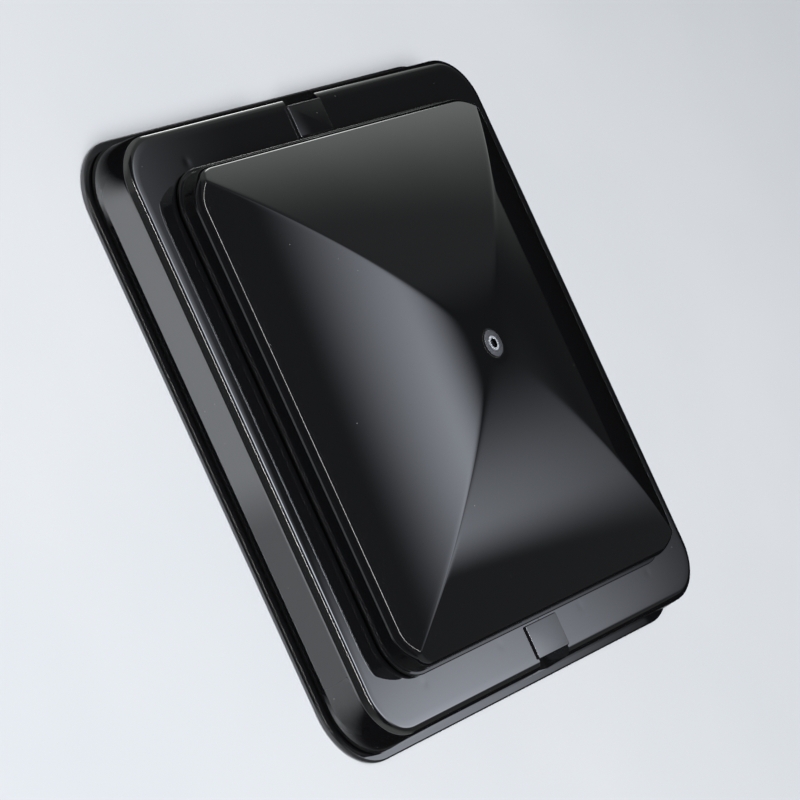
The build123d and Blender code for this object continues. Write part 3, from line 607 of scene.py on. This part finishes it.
def make_cap():
    rules = corner_columns(CAP_SIDE_STEPS, arc_angles(CAP_CORNER_STEPS, dense_middle=True))

    def ring_points(half, radius, z):
        points = outline(rules, half, radius)[:-1]
        return [(x, y, z) for x, y in points]

    centre = APEX - ARC_RADIUS
    built = Builder()
    rows = []
    inner_half = WALL_HALF - CAP_SKIN
    inner_radius = WALL_RADIUS - CAP_SKIN
    rows.append(ring_points(inner_half, inner_radius, CAP_BOTTOM))
    for inset, rise in RIM_FOOT:
        rows.append(ring_points(RIM_HALF - inset, RIM_RADIUS - inset, CAP_BOTTOM + rise))
    rim_top = CAP_BOTTOM + RIM_THICK
    for a in quarter_turn(RIM_STEPS):
        inset = RIM_ROUND * (1 - math.cos(a))
        z = rim_top - RIM_ROUND + RIM_ROUND * math.sin(a)
        rows.append(ring_points(RIM_HALF - inset, RIM_RADIUS - inset, z))
    for a in quarter_turn(FILLET_STEPS):
        inset = WALL_FOOT_ROUND * (1 - math.sin(a))
        z = rim_top + WALL_FOOT_ROUND * (1 - math.cos(a))
        rows.append(ring_points(WALL_HALF + inset, WALL_RADIUS + inset, z))
    # Shoulder: a rolling round between the upright wall and the facets, solved at each column.
    base = outline(rules, WALL_HALF, WALL_RADIUS)[:-1]
    deeper = outline(rules, WALL_HALF - 1.0, WALL_RADIUS - 1.0)[:-1]
    directions = [(dx - bx, dy - by) for (bx, by), (dx, dy) in zip(base, deeper)]
    arcs = []
    for (bx, by), (nx, ny) in zip(base, directions):
        def height(d):
            return dome(bx + nx * d, by + ny * d, ARC_RADIUS, centre)
        touch = SHOULDER_ROUND / 2
        for _ in range(SOLVE_ROUNDS):
            slope = (height(touch + SLOPE_PROBE) - height(touch - SLOPE_PROBE)) / (2 * SLOPE_PROBE)
            ground = height(touch) - slope * touch
            angle = math.atan(slope)
            touch = SHOULDER_ROUND * (1 - math.sin(angle))
        centre_z = ground + slope * SHOULDER_ROUND - SHOULDER_ROUND * math.sqrt(1 + slope * slope)
        arc = []
        for i in range(SHOULDER_STEPS + 1):
            a = (math.pi / 2 - angle) * i / SHOULDER_STEPS
            d = SHOULDER_ROUND * (1 - math.cos(a))
            arc.append((bx + nx * d, by + ny * d, centre_z + SHOULDER_ROUND * math.sin(a)))
        arcs.append(arc)
    for i in range(SHOULDER_STEPS + 1):
        rows.append([arc[i] for arc in arcs])
    # Facets: from the shoulder in to the round seat of the centre screw.
    ends = [arc[-1] for arc in arcs]
    seat = []
    for x, y, _ in ends:
        reach = math.hypot(x, y)
        seat.append((x / reach * SEAT_RADIUS, y / reach * SEAT_RADIUS))
    for share in [FIRST_FACET_SHARE] + [i / FACET_STEPS for i in range(1, FACET_STEPS + 1)]:
        row = []
        for (x, y, _), (sx, sy) in zip(ends, seat):
            px, py = x + (sx - x) * share, y + (sy - y) * share
            row.append((px, py, dome(px, py, ARC_RADIUS, centre)))
        rows.append(row)
    brim = rows[-1]
    for a in quarter_turn(RIM_STEPS)[1:]:
        shrink = 1 - SEAT_ROUND * math.sin(a) / SEAT_RADIUS
        rows.append([(x * shrink, y * shrink, z - SEAT_ROUND * (1 - math.cos(a))) for x, y, z in brim])
    well = 1 - SEAT_ROUND / SEAT_RADIUS
    rows.append([(x * well, y * well, SEAT_Z) for x, y in seat])
    rows.append([(x * SEAT_CORE, y * SEAT_CORE, SEAT_Z) for x, y in seat])
    built.skin(rows, closed=True)
    # Inside skin
    inside_rows = [ring_points(inner_half, inner_radius, CAP_BOTTOM)]
    rim_inside = outline(rules, inner_half, inner_radius)[:-1]
    inside_arc = ARC_RADIUS - CAP_SKIN
    inside_rows.append([(x, y, dome(x, y, inside_arc, centre)) for x, y in rim_inside])
    for i in range(1, INSIDE_STEPS + 1):
        share = i / INSIDE_STEPS
        row = []
        for x, y in rim_inside:
            reach = math.hypot(x, y)
            px = x + (x / reach * SPINDLE_BORE - x) * share
            py = y + (y / reach * SPINDLE_BORE - y) * share
            row.append((px, py, dome(px, py, inside_arc, centre)))
        inside_rows.append(row)
    inside_rows = [list(reversed(row)) for row in inside_rows]
    built.skin(inside_rows, closed=True)
    # Sealing rib and the bosses under the skin
    rib = []
    for inset, level in (
        (0.0, None),
        (0.0, RIB_BOTTOM + RIB_SOFT),
        (RIB_SOFT, RIB_BOTTOM),
        (RIB_THICK - RIB_SOFT, RIB_BOTTOM),
        (RIB_THICK, RIB_BOTTOM + RIB_SOFT),
        (RIB_THICK, None),
    ):
        row = []
        for x, y in outline(rules, RIB_HALF - inset, RIB_RADIUS - inset)[:-1]:
            z = dome(x, y, inside_arc, centre) + ROOT if level is None else level
            row.append((x, y, z))
        rib.append(row)
    built.skin(rib, closed=True)
    bosses = [(0.0, 0.0, CENTRE_BOSS_RADIUS)]
    bosses += [(a * BOSS_X, b * BOSS_Y, BOSS_RADIUS) for a in (-1, 1) for b in (-1, 1)]
    for cx, cy, radius in bosses:
        ring = [(cx + x, cy + y) for x, y in circle(radius, BOSS_SEGMENTS)]
        boss = [[(x, y, dome(x, y, inside_arc, centre) + ROOT) for x, y in ring]]
        boss.append([(x, y, BOSS_BOTTOM + RIB_SOFT) for x, y in ring])
        for share in BOSS_END_SHARES:
            boss.append([(cx + (x - cx) * share, cy + (y - cy) * share, BOSS_BOTTOM) for x, y in ring])
        built.skin(boss, closed=True)
    return make_object("cap_shell_skin", built.points, built.faces, CAP_GLOSS, sharp_angle=40)


# ---- turned parts

def lathe(name, profile, material):
    """A turned piece about +Z from (radius, z) pairs in millimetres."""
    built = Builder()
    rows = []
    for radius, z in profile:
        rows.append([(x, y, z) for x, y in circle(radius, TURNED_SEGMENTS)])
    built.skin(rows, closed=True)
    return make_object(name, built.points, built.faces, material, sharp_angle=30)


def make_washer(name, node_name, material, edge, bore_low, bore_high):
    low, high = node_box_mm(node_name)
    radius, bottom, top = high[0], low[2], high[2]
    profile = [(bore_low, bottom), (radius - edge, bottom)]
    for a in quarter_turn(FILLET_STEPS):
        low_a = a - math.pi / 2
        profile.append((radius - edge + edge * math.cos(low_a), bottom + edge + edge * math.sin(low_a)))
    for a in quarter_turn(FILLET_STEPS):
        profile.append((radius - edge + edge * math.cos(a), top - edge + edge * math.sin(a)))
    profile += [(bore_high + WASHER_LEAD, top), (bore_high, top - WASHER_LEAD), (bore_low, bottom)]
    return lathe(name, profile, material)


def make_screw():
    """The flat centre screw: a cone up to a short land, and a hexagon socket in the top."""
    low, high = node_box_mm("centre_screw")
    radius, top = high[0], high[2]

    def round_row(r, z):
        return [(x, y, z) for x, y in circle(r, TURNED_SEGMENTS)]

    def hexagon_row(r, z):
        row = []
        for t in turn_angles(TURNED_SEGMENTS):
            local = (t + math.pi / 6) % (math.pi / 3) - math.pi / 6
            reach = r * math.cos(math.pi / 6) / math.cos(local)
            row.append((reach * math.cos(t), reach * math.sin(t), z))
        return row

    built = Builder()
    rows = [
        round_row(SCREW_SHANK, low[2]),
        round_row(SCREW_SHANK, top - SCREW_LAND - radius + SCREW_SHANK),
        round_row(radius, top - SCREW_LAND),
    ]
    for a in quarter_turn(LIP_STEPS):
        inset = SCREW_SOFT * (1 - math.cos(a))
        rows.append(round_row(radius - inset, top - SCREW_SOFT + SCREW_SOFT * math.sin(a)))
    rows.append(hexagon_row(SOCKET_RADIUS + SOCKET_LEAD, top))
    rows.append(hexagon_row(SOCKET_RADIUS, top - SOCKET_LEAD))
    rows.append(hexagon_row(SOCKET_RADIUS, top - SOCKET_DEPTH))
    rows.append(round_row(SOCKET_LEAD, top - SOCKET_DEPTH - SOCKET_POINT))
    built.skin(rows, closed=True)
    # The head is drawn in the brighter copy of the stainless, a painted highlight
    obj = make_object("centre_screw_head", built.points, built.faces, SCREW_HIGHLIGHT_METAL, sharp_angle=30)
    # Faces inside the socket get the near-black copy of the stainless, a painted shade in the recess
    obj.data.materials.append(SOCKET_SHADE_METAL)
    for face in obj.data.polygons:
        middle = face.center / MM
        in_socket = math.hypot(middle.x, middle.y) < SOCKET_RADIUS
        if in_socket and middle.z > top - SOCKET_DEPTH - SOCKET_MARGIN:
            face.material_index = 1
    return obj


# ---- joint clip: a bevelled plate with its down-turned leg

def make_clip(name, node_name):
    low, high = node_box_mm(node_name)
    sign = 1 if high[1] > 0 else -1
    y0, y1 = sorted((abs(low[1]), abs(high[1])))
    x1 = high[0]
    top = high[2]
    built = Builder()

    def loop(inset, z):
        points = []
        hx = x1 - inset
        cy, hy = (y0 + y1) / 2, (y1 - y0) / 2 - inset
        for q, (sx, sy) in enumerate(((1, 1), (-1, 1), (-1, -1), (1, -1))):
            for turn in quarter_turn(FILLET_STEPS):
                a = math.pi / 2 * q + turn
                x = sx * (hx - CLIP_CORNER) + CLIP_CORNER * math.cos(a)
                y = cy + sy * (hy - CLIP_CORNER) + CLIP_CORNER * math.sin(a)
                points.append((x, y, z))
        return [(x, sign * y, z) for x, y, z in points]

    rows = [loop(0.0, FACE_Z), loop(0.0, top - CLIP_SOFT)]
    for a in quarter_turn(LIP_STEPS)[1:]:
        rows.append(loop(CLIP_SOFT * (1 - math.cos(a)), top - CLIP_SOFT + CLIP_SOFT * math.sin(a)))
    built.skin(rows, closed=True)
    built.polygon(loop(CLIP_SOFT, top))
    leg = [
        (-CLIP_LEG_HALF, CLIP_LEG_INNER),
        (CLIP_LEG_HALF, CLIP_LEG_INNER),
        (CLIP_LEG_HALF, CLIP_LEG_OUTER),
        (-CLIP_LEG_HALF, CLIP_LEG_OUTER),
    ]
    leg_rows = [[(x, sign * y, z) for x, y in leg] for z in (low[2], low[2] + CLIP_LEG_FOOT, FACE_Z)]
    built.skin(leg_rows, closed=True)
    built.polygon([(x, sign * y, low[2]) for x, y in leg])
    return make_object(name, built.points, built.faces, FACE_GLOSS, sharp_angle=40)


def place(obj, body, slot_name, *nodes):
    bpy.context.view_layer.update()
    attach(obj, body)
    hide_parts(*nodes)


place(make_surround_half("surround_left_skin", -1), "base", "gloss_black_abs", "surround_left")
place(make_surround_half("surround_right_skin", 1), "base", "gloss_black_abs", "surround_right")
place(make_cap(), "cap", "gloss_black_abs", "cap_shell")
place(make_clip("joint_clip_front_plate", "joint_clip_front"), "base", "gloss_black_abs", "joint_clip_front")
place(make_clip("joint_clip_rear_plate", "joint_clip_rear"), "base", "gloss_black_abs", "joint_clip_rear")
# The washer is drawn in the darker copy of the stainless, a painted shade
washer = make_washer(
    "centre_washer_ring", "centre_washer", WASHER_SHADE_METAL, edge=0.4, bore_low=4.6, bore_high=5.75
)
place(washer, "cap", "stainless", "centre_washer")
rubber_ring = make_washer(
    "sealing_washer_ring", "sealing_washer", MATERIALS["black_epdm"], edge=0.3, bore_low=4.6, bore_high=4.6
)
place(rubber_ring, "cap", "black_epdm", "sealing_washer")
place(make_screw(), "cap", "stainless", "centre_screw")


# ---------------------------------------------------------------- floor, light, camera

def make_floor():
    mesh = bpy.data.meshes.new("floor")
    reach = FLOOR_REACH
    corners = [(-reach, -reach, 0), (reach, -reach, 0), (reach, reach, 0), (-reach, reach, 0)]
    mesh.from_pydata(corners, [], [(0, 1, 2, 3)])
    floor = bpy.data.objects.new("floor", mesh)
    bpy.context.scene.collection.objects.link(floor)
    floor.location.z = -FLOOR_DROP
    mat, tree, bsdf = new_material("floor_pale")
    patch = noise(tree, scale=3.0, detail=4.0)
    pale = mix_color(tree, ramp(tree, patch, 0.3, 0.7), (0.54, 0.565, 0.60), (0.58, 0.60, 0.63))
    tree.links.new(pale, bsdf.inputs["Base Color"])
    bsdf.inputs["Roughness"].default_value = 0.8
    bsdf.inputs["Specular IOR Level"].default_value = 0.1
    mesh.materials.append(mat)


def soft_edge(tree, source, rise, fall):
    """One between the two edges, going smoothly to nothing outside them."""
    parts = []
    for (low, high), falling in ((rise, False), (fall, True)):
        made = tree.nodes.new("ShaderNodeMapRange")
        made.interpolation_type = "SMOOTHSTEP"
        made.inputs["From Min"].default_value = min(low, high)
        made.inputs["From Max"].default_value = max(low, high)
        made.inputs["To Min"].default_value = 1.0 if falling else 0.0
        made.inputs["To Max"].default_value = 0.0 if falling else 1.0
        tree.links.new(source, made.inputs["Value"])
        parts.append(made.outputs["Result"])
    return math_node(tree, "MULTIPLY", parts[0], parts[1])


def lit_panel(name, centre, across, up, sizes, across_edges, up_edges):
    """A flat panel seen only in the gloss. Returns its node tree and how strong it is at each point.
    The edges are in metres from its centre: each is (rise from, rise to, fall from, fall to)."""
    across, up = Vector(across).normalized(), Vector(up).normalized()
    w, h = sizes
    mesh = bpy.data.meshes.new(name)
    mesh.from_pydata([(-w, -h, 0), (w, -h, 0), (w, h, 0), (-w, h, 0)], [], [(0, 1, 2, 3)])
    panel = bpy.data.objects.new(name, mesh)
    turn = Matrix((across, up, across.cross(up))).transposed().to_4x4()
    panel.matrix_world = Matrix.Translation(Vector(centre)) @ turn
    bpy.context.scene.collection.objects.link(panel)
    mat = bpy.data.materials.new(name)
    mat.use_nodes = True
    tree = mat.node_tree
    tree.nodes.clear()
    out = tree.nodes.new("ShaderNodeOutputMaterial")
    out.name = "out"
    coords = tree.nodes.new("ShaderNodeTexCoord")
    split = tree.nodes.new("ShaderNodeSeparateXYZ")
    tree.links.new(coords.outputs["Object"], split.inputs["Vector"])
    a, b, c, d = across_edges
    wide = soft_edge(tree, split.outputs["X"], (a, b), (d, c))
    a, b, c, d = up_edges
    tall = soft_edge(tree, split.outputs["Y"], (a, b), (d, c))
    mesh.materials.append(mat)
    panel.visible_camera = False
    panel.visible_diffuse = False
    panel.visible_transmission = False
    panel.visible_shadow = False
    return tree, math_node(tree, "MULTIPLY", wide, tall)


def softbox(name, centre, across, up, sizes, strength, across_edges, up_edges, color=(1.0, 1.0, 1.0)):
    """A soft-edged panel of light that shines in the gloss."""
    tree, amount = lit_panel(name, centre, across, up, sizes, across_edges, up_edges)
    shine = tree.nodes.new("ShaderNodeEmission")
    clear = tree.nodes.new("ShaderNodeBsdfTransparent")
    add = tree.nodes.new("ShaderNodeAddShader")
    shine.inputs["Color"].default_value = (*color, 1.0)
    tree.links.new(math_node(tree, "MULTIPLY", amount, strength), shine.inputs["Strength"])
    tree.links.new(shine.outputs["Emission"], add.inputs[0])
    tree.links.new(clear.outputs["BSDF"], add.inputs[1])
    tree.links.new(add.outputs["Shader"], tree.nodes["out"].inputs["Surface"])


def dark_card(name, centre, across, up, sizes, across_edges, up_edges, cover=1.0):
    """A soft-edged black card that keeps the pale floor or a light out of the gloss."""
    tree, amount = lit_panel(name, centre, across, up, sizes, across_edges, up_edges)
    black = tree.nodes.new("ShaderNodeBsdfDiffuse")
    black.inputs["Color"].default_value = (0.004, 0.004, 0.004, 1.0)
    clear = tree.nodes.new("ShaderNodeBsdfTransparent")
    mix = tree.nodes.new("ShaderNodeMixShader")
    tree.links.new(math_node(tree, "MULTIPLY", amount, cover), mix.inputs["Fac"])
    tree.links.new(clear.outputs["BSDF"], mix.inputs[1])
    tree.links.new(black.outputs["BSDF"], mix.inputs[2])
    tree.links.new(mix.outputs["Shader"], tree.nodes["out"].inputs["Surface"])


def room_light(name, location, target, size, energy):
    """A large soft light for the floor and the matt pieces, kept out of the gloss."""
    data = bpy.data.lights.new(name, "AREA")
    data.shape = "SQUARE"
    data.size = size
    data.energy = energy
    light = bpy.data.objects.new(name, data)
    light.location = location
    away = Vector(location) - Vector(target)
    light.rotation_mode = "QUATERNION"
    light.rotation_quaternion = away.to_track_quat("Z", "Y")
    light.visible_glossy = False
    bpy.context.scene.collection.objects.link(light)


def make_world():
    """A dim room: darkest beyond the far side, a little lighter to the sides and overhead."""
    world = bpy.data.worlds.new("studio")
    bpy.context.scene.world = world
    world.use_nodes = True
    tree = world.node_tree
    background = tree.nodes["Background"]
    coords = tree.nodes.new("ShaderNodeTexCoord")
    split = tree.nodes.new("ShaderNodeSeparateXYZ")
    tree.links.new(coords.outputs["Generated"], split.inputs["Vector"])
    x, y, z = (split.outputs[axis] for axis in "XYZ")
    back_x = math_node(tree, "MULTIPLY", x, -1.0)
    back_y = math_node(tree, "MULTIPLY", y, -1.0)
    total = None
    for source, low, high, amount in (
        (y, 0.11, 0.24, 0.085),
        (back_y, 0.10, 0.40, 0.035),
        (z, 0.86, 0.985, 0.04),
        (back_x, 0.0, 0.5, 0.04),
        (y, 0.55, 0.90, 0.18),
        (back_y, 0.55, 0.90, 0.18),
    ):
        part = tree.nodes.new("ShaderNodeMapRange")
        part.interpolation_type = "SMOOTHSTEP"
        part.inputs["From Min"].default_value = low
        part.inputs["From Max"].default_value = high
        part.inputs["To Max"].default_value = amount
        tree.links.new(source, part.inputs["Value"])
        added = part.outputs["Result"]
        total = added if total is None else math_node(tree, "ADD", total, added)
    tree.links.new(math_node(tree, "ADD", total, 0.015), background.inputs["Strength"])
    background.inputs["Color"].default_value = (0.97, 1.0, 0.98, 1.0)


def make_camera():
    data = bpy.data.cameras.new("camera")
    data.lens = 177.97
    data.sensor_width = 36.0
    data.clip_end = 50.0
    camera = bpy.data.objects.new("camera", data)
    place_at = Vector((-2.2967, -0.1345, 1.6201))
    look_at = Vector((-0.0475, -0.0092, 0.0400))
    roll = math.radians(-63.60)
    forward = (look_at - place_at).normalized()
    level_up = (Vector((0, 0, 1)) - forward * forward.z).normalized()
    level_right = forward.cross(level_up)
    up = level_up * math.cos(roll) + level_right * math.sin(roll)
    right = forward.cross(up)
    rotation = Matrix((right, up, -forward)).transposed()
    camera.rotation_mode = "QUATERNION"
    camera.rotation_quaternion = rotation.to_quaternion()
    camera.location = place_at
    bpy.context.scene.collection.objects.link(camera)
    bpy.context.scene.camera = camera


make_floor()
make_world()
softbox(
    "softbox_overhead",
    centre=(0.71, 0.0, 1.16),
    across=(0.287, 0.94, -0.185),
    up=(-0.79, 0.342, 0.508),
    sizes=(1.0, 1.2),
    strength=3.8,
    across_edges=(-0.9, -0.15, -0.15, 0.75),
    up_edges=(-0.32, 0.09, -0.04, 0.82),
    color=(0.84, 0.89, 1.0),
)
softbox(
    "softbox_side",
    centre=(0.4, -0.27, 0.35),
    across=(0, 0.894, 0.447),
    up=(0, -0.447, 0.894),
    sizes=(0.5, 0.6),
    strength=1.62,
    across_edges=(-0.1, 0.0, 0.0, 0.27),
    up_edges=(-0.28, 0.16, 0.25, 0.5),
    color=(0.84, 0.89, 1.0),
)
softbox(
    "softbox_low",
    centre=(1.15, 0.7, 0.12),
    across=(-0.5, 0.87, 0),
    up=(0, 0, 1),
    sizes=(0.8, 0.75),
    strength=0.7,
    across_edges=(-0.7, -0.1, 0.3, 0.7),
    up_edges=(-0.5, -0.1, 0.05, 0.62),
    color=(0.93, 1.0, 0.95),
)
softbox(
    "softbox_line",
    centre=(-0.237, 0.0, 1.33),
    across=(0, 1, 0),
    up=(0.983, 0, 0.182),
    sizes=(0.8, 0.06),
    strength=24.0,
    across_edges=(-0.75, -0.5, 0.5, 0.75),
    up_edges=(-0.016, -0.006, 0.006, 0.016),
)
softbox(
    "softbox_strip",
    centre=(1.2, 0.73, 0.12),
    across=(-0.5, 0.87, 0),
    up=(0, 0, 1),
    sizes=(0.8, 0.3),
    strength=4.5,
    across_edges=(0.0, 0.25, 0.5, 0.7),
    up_edges=(0.03, 0.06, 0.12, 0.17),
)
dark_card(
    "card_far",
    centre=(0.3, 0.0, 0.043),
    across=(0, 1, 0),
    up=(0, 0, 1),
    sizes=(0.7, 0.045),
    across_edges=(-0.7, -0.6, 0.6, 0.7),
    up_edges=(-0.06, -0.05, 0.04, 0.045),
)
dark_card(
    "card_front",
    centre=(0.1, -0.6, 0.0012),
    across=(1, 0, 0),
    up=(0, 1, 0),
    sizes=(1.0, 0.43),
    across_edges=(-0.9, -0.6, 0.9, 1.0),
    up_edges=(-0.43, -0.3, 0.36, 0.43),
)
dark_card(
    "card_rear",
    centre=(0.1, 0.62, 0.0012),
    across=(1, 0, 0),
    up=(0, 1, 0),
    sizes=(1.0, 0.46),
    across_edges=(-0.9, -0.6, 0.9, 1.0),
    up_edges=(-0.435, -0.375, 0.3, 0.43),
)
dark_card(
    "card_edge",
    centre=(-0.2335, 0.0, 0.0018),
    across=(1, 0, 0),
    up=(0, 1, 0),
    sizes=(0.006, 0.25),
    across_edges=(-0.0055, -0.004, 0.005, 0.006),
    up_edges=(-0.2, -0.17, 0.17, 0.2),
)
dark_card(
    "scrim_floor",
    centre=(-0.275, -0.13, 0.0024),
    across=(1, 0, 0),
    up=(0, 1, 0),
    sizes=(0.04, 0.14),
    across_edges=(-0.04, -0.035, 0.035, 0.04),
    up_edges=(-0.14, -0.06, 0.07, 0.12),
    cover=0.5,
)
dark_card(
    "scrim_left",
    centre=(-0.2035, 0.0, 0.075),
    across=(1, 0, 0),
    up=(0, 1, 0),
    sizes=(0.014, 0.25),
    across_edges=(-0.014, -0.0135, 0.013, 0.014),
    up_edges=(-0.25, -0.24, 0.24, 0.25),
    cover=0.88,
)
room_light("room_above", location=(-0.9, -0.5, 3.0), target=(-0.1, 0.0, 0.0), size=2.2, energy=150)
make_camera()
bpy.context.scene.view_settings.view_transform = "Standard"
